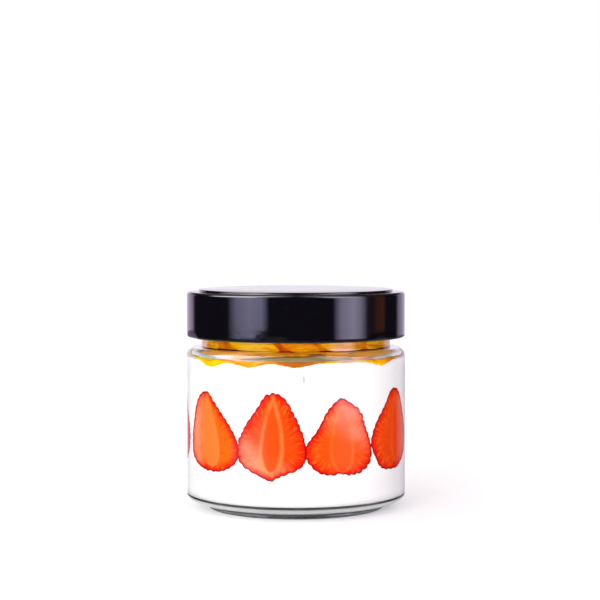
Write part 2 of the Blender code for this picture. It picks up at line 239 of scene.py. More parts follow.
def mottled(tree, place, broad_scale, fine_scale):
    inputs = {"Place": place, "Broad Scale": broad_scale, "Fine Scale": fine_scale}
    outputs = add_node(tree, "ShaderNodeGroup", inputs, node_tree=MOTTLE).outputs
    return outputs["Broad"], outputs["Fine"]


def split(tree, vector):
    """The three parts of a vector; of a place, that is how far right, back and up it lies."""
    return add_node(tree, "ShaderNodeSeparateXYZ", {"Vector": vector}).outputs


def jar_profile():
    floor_edge = BODY_INNER_RADIUS - FLOOR_ROUND
    inside = [(0.0, FLOOR_HEIGHT), (0.5 * floor_edge, FLOOR_HEIGHT)]
    inside += arc((floor_edge, FLOOR_HEIGHT + FLOOR_ROUND), (FLOOR_ROUND, FLOOR_ROUND), -90, 0, 12)
    low, high = INNER_SHOULDER
    inside += [(BODY_INNER_RADIUS, low * share) for share in (0.35, 0.6, 0.85)]
    heights = [low + (high - low) * i / 20 for i in range(21)]
    inside += [(inner_radius(height), height) for height in heights]
    lip = (NECK_RADIUS - NECK_INNER_RADIUS) / 2
    rim = arc((NECK_INNER_RADIUS + lip, RIM_HEIGHT - lip), (lip, lip), 180, 0, 12)
    neck_corner = (NECK_RADIUS + NECK_FILLET, SHOULDER_TOP + NECK_FILLET)
    outside = [(NECK_RADIUS, RIM_HEIGHT - lip - STRAIGHT_EDGE)]
    outside += [(NECK_RADIUS, neck_corner[1] + STRAIGHT_EDGE)]
    outside += arc(neck_corner, (NECK_FILLET, NECK_FILLET), 180, 270, 8)
    shoulder = (BODY_RADIUS - SHOULDER_ROUND, SHOULDER_TOP - SHOULDER_ROUND)
    outside += arc(shoulder, (SHOULDER_ROUND, SHOULDER_ROUND), 90, 0, 14)
    outside += [(BODY_RADIUS, shoulder[1] - STRAIGHT_EDGE)]
    outside += [(BODY_RADIUS, SEAM_DROP[1] + (SEAM_DROP[0] - SEAM_DROP[1]) * i / 8) for i in range(9)]
    heel_radius, heel_low = HEEL_END
    outside += [(BODY_RADIUS, HEEL_START + STRAIGHT_EDGE)]
    outside += arc((heel_radius, HEEL_START), (BODY_RADIUS - heel_radius, HEEL_START - heel_low), 0, -90, 20)
    outside += arc((FOOT_OUTER, FOOT_ROUND), (FOOT_ROUND, FOOT_ROUND), 30, -90, 8)
    hollow = arc((FOOT_INNER, 0.5 * PUSH_UP), (FOOT_HOLLOW, 0.5 * PUSH_UP), -90, -180, 5)
    return inside + rim + outside + hollow + [(0.6 * FOOT_INNER, 0.9 * PUSH_UP), (0.0, PUSH_UP)]


def jar_angles():
    """Even steps round the jar, with closer ones on the seams."""
    angles = even_angles(GLASS_STEPS)
    for seam in SEAMS:
        angles += [math.radians(seam + SEAM_WIDTH * step) for step in (-1.0, -0.6, -0.3, 0.0, 0.3, 0.6, 1.0)]
    return sorted(set(angles))


def raise_seams(angle, radius, height):
    """A seam is a fine ridge between two grooves, on the body alone. Its drop stands out further."""
    if radius < NECK_RADIUS + NECK_FILLET or height < HEEL_START or height > SHOULDER_TOP:
        return radius, height
    for seam in SEAMS:
        off = (math.degrees(angle) - seam) / SEAM_WIDTH
        if abs(off) < 1.0:
            low, high = SEAM_DROP
            drop = max(0.0, 1.0 - abs(2.0 * (height - low) / (high - low) - 1.0))
            radius += SEAM_HEIGHT * ((1.0 + 2.0 * drop) * (math.cos(math.pi * off) + 1.0) / 2 - 1.0)
    return radius, height


def glass_material():
    material, tree, shader, output = new_material("clear glass")
    place = object_place(tree)
    across, back, height = split(tree, place)
    waves, smears = mottled(tree, place, 45.0, 55.0)
    # A grey mark is painted on the glass over the drop of the front seam.
    off_seam = math_node(tree, "ABSOLUTE", math_node(tree, "SUBTRACT", across, SEAM_DROP_X))
    low, high = SEAM_DROP
    drop = product(tree, remap(tree, off_seam, *SEAM_GREY_EDGE, 0.95, 0.0),
                   remap(tree, height, low, low + SEAM_GREY_FADE),
                   remap(tree, height, high - SEAM_GREY_FADE, high, 1.0, 0.0),
                   remap(tree, back, *SEAM_GREY_FRONT, 1.0, 0.0))
    tint = blend(tree, smears, colour(250, 253, 250), colour(254, 255, 254))
    tint = blend(tree, drop, tint, colour(120, 120, 124))
    # Painted shade: the foot's glass is grey, for the dark under the jar seen through the heel.
    clear = remap(tree, height, FOOT_SHADE_TOP - FOOT_SHADE_FADE, FOOT_SHADE_TOP)
    tint = blend(tree, clear, colour(164, 164, 165), tint)
    tree.links.new(tint, shader.inputs["Base Color"])
    tree.links.new(remap(tree, smears, 0.45, 0.75, 0.0, 0.02), shader.inputs["Roughness"])
    shader.inputs["IOR"].default_value = 1.5
    shader.inputs["Transmission Weight"].default_value = 1.0
    waves = product(tree, math_node(tree, "SUBTRACT", waves, 0.5),
                    remap(tree, height, WAVES_TOP - WAVES_FADE, WAVES_TOP, 1.0, 0.0))
    tree.links.new(bump(tree, waves, 0.00010), shader.inputs["Normal"])
    # The light on the contents goes straight through the glass.
    rays = add_node(tree, "ShaderNodeLightPath").outputs
    through = math_node(tree, "MAXIMUM", rays["Is Shadow Ray"], rays["Is Diffuse Ray"])
    open_air = add_node(tree, "ShaderNodeBsdfTransparent")
    mix = add_node(tree, "ShaderNodeMixShader", {0: through, 1: shader.outputs[0], 2: open_air.outputs[0]})
    tree.links.new(mix.outputs[0], output.inputs["Surface"])
    depth = add_node(tree, "ShaderNodeVolumeAbsorption", {"Color": colour(212, 216, 218), "Density": 60.0})
    tree.links.new(depth.outputs[0], output.inputs["Volume"])
    return material


jar_mesh = turned("glass_jar", jar_profile(), jar_angles(), raise_seams)
add_piece(jar_mesh, glass_material(), "jar")


# ================================================================ the strawberry slices
# Nine slices cut lengthwise, stood tip up in a ring with the cut faces pressed flat on the glass.
# Each has a red skin notched by its seeds, orange-red flesh with pale fibres, and a paler core.

SLICE_PROUD = 0.12 * MM  # the cut faces reach this far into the glass, so that no air shows
SLICE_STAGGER = 0.02 * MM  # every other slice reaches this much further, over its neighbours
SLICE_THICKNESS = 5.0 * MM
SLICE_AROUND = 300
SLICE_RINGS = 26
SLICE_BACK_RINGS = 9
SLICE_SWELL = 0.5  # mm, so that neighbours touch
NOTCH_PITCH = 2.9  # mm along the skin
NOTCH_WANDER = 0.16  # per mm, how fast the notches change along the skin
SKIN_BUMPS = 0.9  # per mm, how fine the bumps on the skin are
SKIN_BUMP_DEPTH = 0.16  # mm
WIDTH_TURNS = 75.0  # degrees below and above the middle where the first and last widths are
DENT_WIDTH = 8.0  # mm
PALE_START = 0.5  # mm from the middle, where a slice starts to turn pale towards one side
PALE_SPREAD = 9.0  # mm, over which it turns
FIBRE_SHRINK = 0.02  # the fibres' place moves this much for each mm in from the skin
SLICE_MIDDLE = 0.40  # share of the height where the slice is thickest
CORE_ENDS = (0.10, 0.95)  # shares of the height where the core starts and ends
CORE_WIDEST = 0.30  # share of the core's length where it is widest
# Where a slice stands in degrees from the front, its foot, height and lean in mm, its left and right
# half widths from foot to tip, the dent in its foot, the depth of its notches, the core's half width
# and shift, how strong the core and yellow show, how pale one side is and its turn from the right,
# and where a dark bit of the stem or a seed is left, across and up
Slice = namedtuple("Slice", "angle foot height lean left right dent notch core look bit")
STRAWBERRIES = (
    Slice(-93.0, 16.9, 30.8, 0.0, (9.0, 13.0, 13.2, 10.6, 9.0, 8.0), (8.0, 12.2, 12.2, 9.6, 8.2, 8.0),
          0.0, 0.60, (3.2, 0.0), (0.7, 0.2, 0.4, 200), (0.0, 16.9)),
    Slice(-52.7, 16.2, 31.6, -2.6, (10.6, 15.6, 13.2, 10.8, 10.3, 11.0), (12.0, 16.4, 14.4, 10.6, 6.4, 4.4),
          1.3, 0.50, (4.4, 0.6), (1.0, 1.0, 0.95, 178), (3.4, 16.8)),
    Slice(-12.5, 15.4, 33.2, 0.8, (6.5, 14.8, 13.8, 10.2, 7.2, 8.1), (4.0, 14.1, 12.5, 9.8, 8.4, 8.6),
          0.0, 0.70, (4.1, -0.3), (1.0, 0.1, 0.8, 236), (0.6, 15.7)),
    Slice(24.4, 15.4, 31.1, 0.4, (11.0, 14.1, 13.9, 8.8, 7.2, 4.6), (14.0, 16.3, 13.4, 10.4, 9.9, 4.6),
          2.6, 0.65, (4.4, 0.8), (0.5, 0.35, 0.55, 62), (-0.8, 46.4)),
    Slice(65.4, 17.0, 31.6, -1.0, (25.0, 17.4, 15.6, 12.0, 8.2, 9.0), (8.0, 12.8, 13.0, 9.6, 8.0, 8.0),
          0.6, 0.45, (3.0, 0.0), (0.25, 0.15, 0.3, 10), (2.0, 17.2)),
    Slice(105.0, 16.4, 31.8, 0.0, (8.5, 12.6, 12.4, 9.6, 7.8, 7.0), (9.0, 13.2, 12.6, 10.2, 8.4, 8.0),
          -1.2, 0.60, (3.8, 0.4), (0.8, 0.3, 0.6, 220), (-1.0, 16.6)),
    Slice(145.0, 17.2, 29.6, 1.0, (10.0, 13.6, 12.8, 10.8, 9.4, 9.0), (9.0, 13.0, 12.6, 10.0, 8.0, 7.2),
          0.8, 0.55, (4.0, -0.5), (0.6, 0.5, 0.5, 330), (0.5, 17.6)),
    Slice(185.0, 16.2, 32.4, -1.5, (7.0, 13.0, 13.0, 9.8, 7.6, 7.4), (9.0, 13.0, 12.4, 10.6, 9.2, 9.0),
          0.0, 0.65, (3.6, 0.2), (1.0, 0.2, 0.6, 150), (0.0, 48.2)),
    Slice(225.5, 16.7, 30.6, 0.8, (10.0, 13.4, 13.0, 10.2, 8.2, 7.0), (8.0, 13.2, 12.8, 9.4, 7.4, 8.0),
          -1.0, 0.55, (4.1, 0.6), (0.5, 0.6, 0.5, 40), (0.4, 16.4)),
)


def side_width(widths, turn):
    """A side's half width at a turn from the foot to the tip: an ellipse as wide as its widths say."""
    last = len(widths) - 1
    place = last * (math.degrees(turn) + WIDTH_TURNS) / (2 * WIDTH_TURNS)
    place = min(max(place, 0.0), last)
    low = min(int(place), last - 1)
    share = place - low
    before, here, after, beyond = [widths[min(max(low + i, 0), last)] for i in (-1, 0, 1, 2)]
    slope = after - before
    curve = 2 * before - 5 * here + 4 * after - beyond
    twist = 3 * (here - after) + beyond - before
    return math.cos(turn) * (here + share * (slope + share * (curve + share * twist)) / 2)


def strawberry_outline(berry, turn):
    """A slice's smooth outline, in mm across and up, at a turn round it from its right side."""
    share = (1.0 + math.sin(turn)) / 2.0
    upright = math.asin(max(-1.0, min(1.0, math.sin(turn))))
    side, widths = (1.0, berry.right) if math.cos(turn) >= 0.0 else (-1.0, berry.left)
    across = side * (side_width(widths, upright) + SLICE_SWELL * math.cos(upright))
    lift = berry.dent * max(0.0, 1.0 - abs(across) / DENT_WIDTH) * (1.0 - share) ** 4
    return across + berry.lean * (share - 0.5), berry.foot + berry.height * share + lift


def strawberry_middle(berry):
    return 0.0, berry.foot + SLICE_MIDDLE * berry.height


def notched_outline(berry):
    """The cut edge of the skin: the smooth outline, bumpy, with a notch at each seed."""
    middle = strawberry_middle(berry)
    edge = []
    length = 0.0
    before = strawberry_outline(berry, 0.0)
    for i in range(SLICE_AROUND):
        across, height = strawberry_outline(berry, math.tau * i / SLICE_AROUND)
        length += math.hypot(across - before[0], height - before[1])
        before = (across, height)
        wobble = noise.noise(Vector((NOTCH_WANDER * across, NOTCH_WANDER * height, berry.angle)))
        swell = abs(math.sin(math.pi * length / NOTCH_PITCH + 1.4 * wobble)) ** 0.7
        bumps = noise.noise(Vector((SKIN_BUMPS * across, SKIN_BUMPS * height, berry.angle)))
        depth = berry.notch * ((1.0 - swell) * (0.7 + 0.8 * wobble) - 0.3) + SKIN_BUMP_DEPTH * bumps
        reach = math.hypot(across - middle[0], height - middle[1])
        share = 1.0 - depth / max(reach, 1.0)
        edge.append((middle[0] + share * (across - middle[0]), middle[1] + share * (height - middle[1])))
    return edge


def core_distance(berry, across, height):
    """Distance in mm from the edge of the teardrop core, negative inside it."""
    half, shift = berry.core
    share = (height - berry.foot) / berry.height
    low, high = CORE_ENDS
    length = (high - low) * berry.height
    place = (share - low) / (high - low)
    off = abs(across - berry.lean * (share - 0.5) - shift * (1.0 - max(place, 0.0)))
    if place <= 0.0:
        return math.hypot(off, place * length)
    if place >= 1.0:
        return math.hypot(off, (place - 1.0) * length)
    width = half * (place / CORE_WIDEST) ** 0.45 * ((1 - place) / (1 - CORE_WIDEST)) ** 1.05
    return off - width


def capped_faces(around, rings):
    """The faces of a closed skin: its first point, rings of points, and its last point."""
    faces = []
    last = 1 + rings * around
    for i in range(around):
        after = (i + 1) % around
        faces.append((0, 1 + i, 1 + after))
        for low in range(1, last - around, around):
            high = low + around
            faces.append((low + i, high + i, high + after, low + after))
        low = last - around
        faces.append((low + i, last, low + after))
    return faces


def painted_mesh(name, points, faces, **layers):
    """A mesh that keeps layers of three values for each point, which its material reads."""
    mesh = bpy.data.meshes.new(name)
    mesh.from_pydata(points, [], faces)
    for label, values in layers.items():
        layer = mesh.attributes.new(label, "FLOAT_VECTOR", "POINT")
        layer.data.foreach_set("vector", [part for value in values for part in value])
    return mesh


def strawberry_mesh(name, berry, proud):
    """Rings from the middle of the cut face out to the skin, then round the back to a point."""
    edge = notched_outline(berry)
    middle = strawberry_middle(berry)
    core, yellow, pale, pale_turn = berry.look
    pale_turn = math.radians(pale_turn)
    points, along, depths, looks = [], [], [], []

    def put(turn_place, scale, sink):
        rim = edge[turn_place]
        across = middle[0] + scale * (rim[0] - middle[0])
        height = middle[1] + scale * (rim[1] - middle[1])
        angle = math.radians(berry.angle) + across * MM / BODY_INNER_RADIUS
        points.append(round_jar(angle, inner_radius(height * MM) + proud - sink, height * MM))
        reach = math.hypot(rim[0] - middle[0], rim[1] - middle[1])
        turn = math.atan2(rim[1] - middle[1], rim[0] - middle[0])
        # On the cut face the skin is this far away, and behind it everything is skin.
        inward = (1.0 - scale) * reach if sink < 0.1 * SLICE_THICKNESS else -1.0
        along.append((math.cos(turn), math.sin(turn), FIBRE_SHRINK * inward))
        off_bit = math.hypot(across - berry.bit[0], height - berry.bit[1])
        depths.append((inward, core_distance(berry, across, height), off_bit))
        toward = (across - middle[0]) * math.cos(pale_turn) + (height - middle[1]) * math.sin(pale_turn)
        looks.append((core, yellow, pale * ease((toward - PALE_START) / PALE_SPREAD)))

    put(0, 0.0, 0.0)
    for ring in range(1, SLICE_RINGS + 1):
        share = ring / SLICE_RINGS
        for i in range(SLICE_AROUND):
            put(i, 1.0 - (1.0 - share) ** 1.3, 0.0)
    for ring in range(1, SLICE_BACK_RINGS):
        turn = math.pi / 2 * ring / SLICE_BACK_RINGS
        for i in range(SLICE_AROUND):
            put(i, math.cos(turn) ** 0.6, SLICE_THICKNESS * math.sin(turn) ** 0.8)
    put(0, 0.0, SLICE_THICKNESS)
    faces = capped_faces(SLICE_AROUND, SLICE_RINGS + SLICE_BACK_RINGS - 1)
    return painted_mesh(name, points, faces, fibres=along, depths=depths, look=looks)


def attribute(tree, name):
    return add_node(tree, "ShaderNodeAttribute", attribute_name=name).outputs["Vector"]


def fibre_group():
    """Fibres of cut fruit along a stretched place: streaks, with a mask of the pale and of the dark."""
    group, given, results = node_group("fruit fibres", ("Scale",), ("Streaks", "Pale", "Dark"))
    streaks = noise_node(group, given["Place"], given["Scale"], 3.0, 0.6, 0.2)
    group.links.new(streaks, results["Streaks"])
    group.links.new(remap(group, streaks, 0.50, 0.66), results["Pale"])
    group.links.new(remap(group, streaks, 0.34, 0.50, 1.0, 0.0), results["Dark"])
    return group


FIBRES = fibre_group()


def fibres(tree, place, scale):
    return add_node(tree, "ShaderNodeGroup", {"Place": place, "Scale": scale}, node_tree=FIBRES).outputs


def strawberry_material():
    material, tree, shader, _ = new_material("cut strawberry")
    from_skin, from_core, from_bit = split(tree, attribute(tree, "depths"))
    core_strength, yellow_strength, paleness = split(tree, attribute(tree, "look"))
    broad, fine = mottled(tree, object_place(tree), 150.0, 900.0)
    _, pale_fibres, dark_fibres = fibres(tree, attribute(tree, "fibres"), 16.0)

    # The distances in mm stray a little, so that no tone ends in an even line.
    stray = math_node(tree, "SUBTRACT", product(tree, broad, 1.6), 0.8)
    inward = math_node(tree, "ADD", from_skin, stray)
    core = math_node(tree, "ADD", from_core, product(tree, stray, 0.9))

    # Deep red under the skin and orange-red further in, where some slices are yellow or pale.
    flesh = blend(tree, remap(tree, inward, 0.2, 1.8), colour(214, 14, 3), colour(236, 34, 2))
    flesh = blend(tree, remap(tree, inward, 1.2, 5.0), flesh, colour(239, 63, 2))
    yellow = product(tree, yellow_strength, remap(tree, inward, 0.8, 4.0, 0.0, 0.8))
    flesh = blend(tree, yellow, flesh, colour(242, 104, 14))
    pale = product(tree, paleness, remap(tree, broad, 0.35, 0.60, 0.6, 1.0),
                   remap(tree, inward, 0.3, 2.6, 0.1, 1.0))
    flesh = blend(tree, pale, flesh, colour(247, 152, 112))

    # The fibres run from the skin to the core.
    between = product(tree, remap(tree, inward, 0.5, 1.6), remap(tree, core, 0.2, 1.6))
    dark = product(tree, dark_fibres, between, 0.35)
    flesh = blend(tree, dark, flesh, colour(226, 30, 4))
    light = product(tree, pale_fibres, between, remap(tree, inward, 3.4, 6.5, 0.55, 0.15))
    flesh = blend(tree, light, flesh, colour(246, 120, 36))

    # The core, with a pale line round it.
    inside = product(tree, remap(tree, core, -1.2, 0.6, 0.9, 0.0), core_strength)
    core_colour = blend(tree, yellow_strength, colour(240, 66, 2), colour(246, 122, 50))
    flesh = blend(tree, inside, flesh, core_colour)
    core_line = product(tree, remap(tree, math_node(tree, "ABSOLUTE", core), 0.0, 1.4, 0.6, 0.0),
                        core_strength, remap(tree, broad, 0.25, 0.6, 0.5, 1.0))
    flesh = blend(tree, core_line, flesh, colour(247, 136, 64))

    # The dark skin, and the bit of stem or seed.
    skin = math_node(tree, "ADD", from_skin, product(tree, stray, 0.15))
    flesh = blend(tree, remap(tree, skin, 0.10, 0.75, 0.95, 0.0), flesh, colour(140, 12, 6))
    bit = math_node(tree, "ADD", from_bit, product(tree, fine, 0.6))
    flesh = blend(tree, remap(tree, bit, 0.6, 1.1, 0.85, 0.0), flesh, colour(104, 66, 24))
    tree.links.new(flesh, shader.inputs["Base Color"])
    tree.links.new(remap(tree, fine, 0.3, 0.7, 0.28, 0.45), shader.inputs["Roughness"])
    tree.links.new(bump(tree, fine, 0.00004), shader.inputs["Normal"])
    shader.inputs["Specular IOR Level"].default_value = 0.04
    return material


strawberry_flesh = strawberry_material()
for number, berry in enumerate(STRAWBERRIES, start=1):
    proud = SLICE_PROUD + SLICE_STAGGER * (number % 2)
    slice_mesh = strawberry_mesh(f"strawberry_slice_{number}", berry, proud)
    add_piece(slice_mesh, strawberry_flesh, f"strawberry_{number}")


# ================================================================ the cream
# Thick white cream, spooned in under and round the slices and smoothed, so it lies close on the
# glass. Its top is level under the heap of fruit and slopes down to the wall round it. That slope is
# painted yellowish grey as painted shade under the shoulder, and higher up the juice of the fruit
# has soaked into it, with a painted shadow line along the juice's lower edge.

IN_WALL = 0.05 * MM  # the cream reaches this far into the glass, behind the slices
CREAM_TOP = 62.4 * MM
CREAM_LEVEL_RADIUS = 35.8 * MM
CREAM_WALL_HEIGHT = 60.3 * MM
CREAM_STEPS = 420
CREAM_UNEVEN = 0.15 * MM
CREAM_SWIRL = 6.0 * MM  # width of the swells in its top
LEVEL_UNEVEN = 0.4 * MM  # how uneven the levels of the painted shade and the juice are
SLOPE_SHADE_HEIGHT = 60.1 * MM  # painted shade, yellowish grey, lies on the cream above this
SLOPE_SHADE_FADE = 0.3 * MM
JUICE_HEIGHT = 61.44 * MM  # juice lies on the cream above this, in the middle
JUICE_DIP = 0.55  # it starts lower at the sides, by this much times the distance out squared
JUICE_RIGHT = (21.0 * MM, 27.0 * MM)  # between these places on the right it dips further
JUICE_RIGHT_DIP = 0.2 * MM
JUICE_SHADOW = 0.06 * MM  # how high the painted shadow line along its lower edge is


def cream_profile():
    """The cream before its top is shaped: a flat top, the wall, and the floor with its round corner."""
    floor_edge = BODY_INNER_RADIUS - FLOOR_ROUND
    wall_radius = BODY_INNER_RADIUS + IN_WALL
    wall_low = FLOOR_HEIGHT + FLOOR_ROUND
    corner = FLOOR_ROUND + IN_WALL
    top = [(BODY_INNER_RADIUS * i / 24, CREAM_TOP) for i in range(24)]
    wall = [(wall_radius, CREAM_TOP + (wall_low - CREAM_TOP) * i / 60) for i in range(60)]
    floor = arc((floor_edge, wall_low), (corner, corner), 0, -90, 10)
    floor += [(0.5 * floor_edge, FLOOR_HEIGHT - IN_WALL), (0.0, FLOOR_HEIGHT - IN_WALL)]
    return top + wall + floor


def cream_height(radius):
    """The top of the cream, which slopes down to the wall."""
    slope = (radius - CREAM_LEVEL_RADIUS) / (BODY_INNER_RADIUS - CREAM_LEVEL_RADIUS)
    return CREAM_TOP - (CREAM_TOP - CREAM_WALL_HEIGHT) * ease(slope)


def cream_shape(angle, radius, height):
    """Lowers the flat top to the real one and brings the wall rows up or down with it."""
    share = (height - FLOOR_HEIGHT - FLOOR_ROUND) / (CREAM_TOP - FLOOR_HEIGHT - FLOOR_ROUND)
    if share <= 0.0:
        return radius, height
    point = Vector(round_jar(angle, radius, 0.0)) / CREAM_SWIRL
    top = cream_height(radius) + CREAM_UNEVEN * noise.noise(point)
    height += (top - CREAM_TOP) * ease(share)
    if radius > BODY_INNER_RADIUS:
        return inner_radius(height) + IN_WALL, height
    return min(radius, inner_radius(height)), height


def cream_material():
    material, tree, shader, _ = new_material("whipped cream")
    place = object_place(tree)
    across, _, height = split(tree, place)
    broad, fine = mottled(tree, place, 90.0, 700.0)
    tone = blend(tree, remap(tree, broad, 0.3, 0.7), colour(250, 247, 246), colour(253, 252, 250))
    level = math_node(tree, "ADD", product(tree, broad, LEVEL_UNEVEN), height)
    # Painted shade: the slope under the shoulder is yellowish grey.
    slope_shade = blend(tree, remap(tree, broad, 0.3, 0.7), colour(156, 138, 92), colour(186, 172, 130))
    tone = blend(tree, remap(tree, level, SLOPE_SHADE_HEIGHT, SLOPE_SHADE_HEIGHT + SLOPE_SHADE_FADE), tone, slope_shade)
    dip = product(tree, across, across, JUICE_DIP)
    dip = math_node(tree, "ADD", dip, remap(tree, across, *JUICE_RIGHT, 0.0, JUICE_RIGHT_DIP))
    level = math_node(tree, "ADD", level, dip)
    # Painted shadow: a dark line along the lower edge of the juice.
    painted_juice_shadow = remap(tree, level, JUICE_HEIGHT - JUICE_SHADOW, JUICE_HEIGHT)
    tone = blend(tree, painted_juice_shadow, tone, colour(134, 84, 6))
    juice = remap(tree, level, JUICE_HEIGHT + 0.5 * JUICE_SHADOW, JUICE_HEIGHT + 1.5 * JUICE_SHADOW)
    tone = blend(tree, juice, tone, colour(250, 164, 5))
    tree.links.new(tone, shader.inputs["Base Color"])
    tree.links.new(remap(tree, fine, 0.3, 0.7, 0.4, 0.55), shader.inputs["Roughness"])
    swells = math_node(tree, "ADD", product(tree, fine, 0.2), broad)
    tree.links.new(bump(tree, swells, 0.00025), shader.inputs["Normal"])
    shader.inputs["Specular IOR Level"].default_value = 0.2
    return material


cream_mesh = turned("cream_filling", cream_profile(), even_angles(CREAM_STEPS), cream_shape)
add_piece(cream_mesh, cream_material(), "cream")


# ================================================================ the fruit on top
# Soft slices of ripe orange fruit in their own juice. They fill the neck and press on its glass under
# the lid, and a strip of the same fruit lies between the top edge of the cream and the glass.

PULP_BASE = 61.5 * MM
PULP_TOP = 71.0 * MM
PULP_ROUND = 1.5 * MM
PULP_PROUD = 0.02 * MM  # the pulp reaches this far into the glass,
FRUIT_PROUD = 0.09 * MM  # and the slices and the strip this far
FRUIT_THICKNESS = 4.5 * MM
FRUIT_SWELL = 0.9 * MM  # the heap swells this much just below the neck
WALL_SLICE_ROUND = (72, 26)  # points round it, and rings from its face to its back
WALL_SLICE_RAGGED = 0.10  # share of its size by which its outline is uneven
WALL_SLICE_FACE = 0.55  # share of its depth beyond which the glass presses it flat
WALL_SLICES = (
    # middle and half length in degrees, height and half height in mm, rise along it, slant of its
    # ends, and how yellow it is
    (-29.0, 18.6, 66.3, 3.6, -0.03, -1.3, 0.75),
    (2.0, 10.8, 66.1, 3.7, 0.04, -1.4, 0.35),
    (29.5, 15.6, 66.6, 3.5, 0.02, -1.0, 0.60),
    (66.0, 19.6, 66.2, 3.7, -0.04, 0.8, 0.55),
    (104.0, 17.4, 66.5, 3.5, 0.05, 1.0, 0.70),
    (140.0, 17.8, 66.0, 3.6, -0.03, -0.9, 0.30),
    (176.0, 17.2, 66.5, 3.6, 0.03, 1.1, 0.50),
    (213.0, 18.8, 66.3, 3.5, -0.05, -1.0, 0.65),
    (250.0, 17.4, 66.6, 3.7, 0.03, 0.9, 0.40),
    (287.0, 18.4, 66.1, 3.6, -0.02, -1.2, 0.55),
)
STRIP_TOP = 60.3 * MM
STRIP_BASE = 59.9 * MM
# One value for each wave of the strip round the jar: how far it hangs down in mm, and how yellow it is
STRIP_DROPS = (2.6, 1.9, 1.7, 0.1, 2.0, -1.5, -1.5, 2.6, 1.3, 2.2, 1.0, 1.9, -1.5, -1.5)
STRIP_TONES = (0.90, 0.45, 0.0, 0.30, 0.50, 0.4, 0.6, 0.3, 0.65, 0.45, 0.6, 0.5, 0.35, 0.9)
WAVES_BEFORE_FRONT = 2  # the third wave is the one at the front
STRIP_EVEN = 0.25  # share of a drop that spreads along to the next one
STRIP_RAGGED = 0.25 * MM
STRIP_RIPPLES = ((1.0, 22.0, 0.0), (0.5, 60.0, 3.0))  # share, how fine, and which layer of the noise
STRIP_THICKNESS = 0.9 * MM
STRIP_LEAST = 0.05 * MM  # its height where it thins out
STRIP_STEPS = 900
STRIP_ROWS = 24
STRIP_FACE = 0.45  # share of its rows that lie on the glass
STRIP_TURN = 0.40  # share of them over which it goes back behind


def heap_radius(height, proud):
    """How far out the fruit lies: just into the glass in the neck, and a little further below it."""
    swell = FRUIT_SWELL * ease((INNER_SHOULDER[1] + MM - height) / MM)
    return min(inner_radius(height), NECK_INNER_RADIUS + swell) + proud


def wall_slice(middle, half_turn, level, half_height, rise, slant, tone):
    """Points, faces and fibre places of one slice, flat on the glass and rounded off behind."""
    around, deep = WALL_SLICE_ROUND
    points, places = [], []
    for ring in range(deep + 1):
        polar = math.pi * ring / deep
        spread = max(0.0, math.sin(polar)) ** 0.75
        out = math.cos(polar)
        for i in range(around if 0 < ring < deep else 1):
            turn = math.tau * i / around
            across = math.copysign(abs(math.cos(turn)) ** 0.7, math.cos(turn))
            up = math.copysign(abs(math.sin(turn)) ** 0.8, math.sin(turn))
            uneven = noise.noise(Vector((1.6 * across, 1.6 * up, middle)))
            ragged = 1.0 + WALL_SLICE_RAGGED * uneven
            up_here = half_height * MM * up * spread * ragged
            along = math.radians(half_turn) * across * spread * ragged * BODY_INNER_RADIUS + slant * up_here
            height = level * MM + up_here + rise * along
            sink = FRUIT_THICKNESS * max(0.0, WALL_SLICE_FACE - out) ** 1.2
            angle = math.radians(middle) + along / BODY_INNER_RADIUS
            points.append(round_jar(angle, heap_radius(height, FRUIT_PROUD) - sink, height))
            places.append((along / MM + middle, up_here / MM, tone))
    return points, capped_faces(around, deep - 1), places


def angle_of(point):
    return math.atan2(point[0], -point[1])


def heap_mesh():
    """The pulp in the middle, with every slice, as one heap."""
    side_top = PULP_TOP - PULP_ROUND
    wall = [side_top + (PULP_BASE - side_top) * i / 30 for i in range(31)]
    profile = [(0.0, PULP_TOP), (0.5 * NECK_INNER_RADIUS, PULP_TOP)]
    profile += [(NECK_INNER_RADIUS - PULP_ROUND, PULP_TOP)]
    profile += [(heap_radius(height, PULP_PROUD), height) for height in wall]
    profile += [(0.5 * NECK_INNER_RADIUS, PULP_BASE), (0.0, PULP_BASE)]
    mesh = turned("pulp", profile, even_angles(240))
    points = [tuple(vertex.co) for vertex in mesh.vertices]
    faces = [tuple(face.vertices) for face in mesh.polygons]
    places = [(angle_of(point) * BODY_INNER_RADIUS / MM, point[2] / MM, -1.0) for point in points]
    for settings in WALL_SLICES:
        more_points, more_faces, more_places = wall_slice(*settings)
        start = len(points)
        points += more_points
        places += more_places
        faces += [tuple(start + corner for corner in face) for face in more_faces]
    return painted_mesh("fruit_slices", points, faces, fibre_place=places)


def wave_value(values, angle):
    """Moves softly from one wave's value to the next."""
    count = len(values)
    place = (angle / math.tau) * count + WAVES_BEFORE_FRONT
    low = math.floor(place)
    share = ease(place - low)
    return values[low % count] * (1.0 - share) + values[(low + 1) % count] * share


def strip_base(angle):
    """The wavy lower edge of the strip."""
    count = len(STRIP_DROPS)
    place = (angle / math.tau) * count
    wave = math.floor(place + 0.5)
    wave_drop = STRIP_DROPS[(wave + WAVES_BEFORE_FRONT) % count] * MM
    ragged = 0.0
    for share, fine, layer in STRIP_RIPPLES:
        ragged += share * noise.noise(Vector((fine * math.sin(angle), fine * math.cos(angle), layer)))
    drop = STRIP_EVEN * wave_value(STRIP_DROPS, angle) * MM
    drop += (1.0 - STRIP_EVEN) * wave_drop * math.cos(math.pi * (place - wave)) ** 2
    return STRIP_BASE - drop + STRIP_RAGGED * ragged


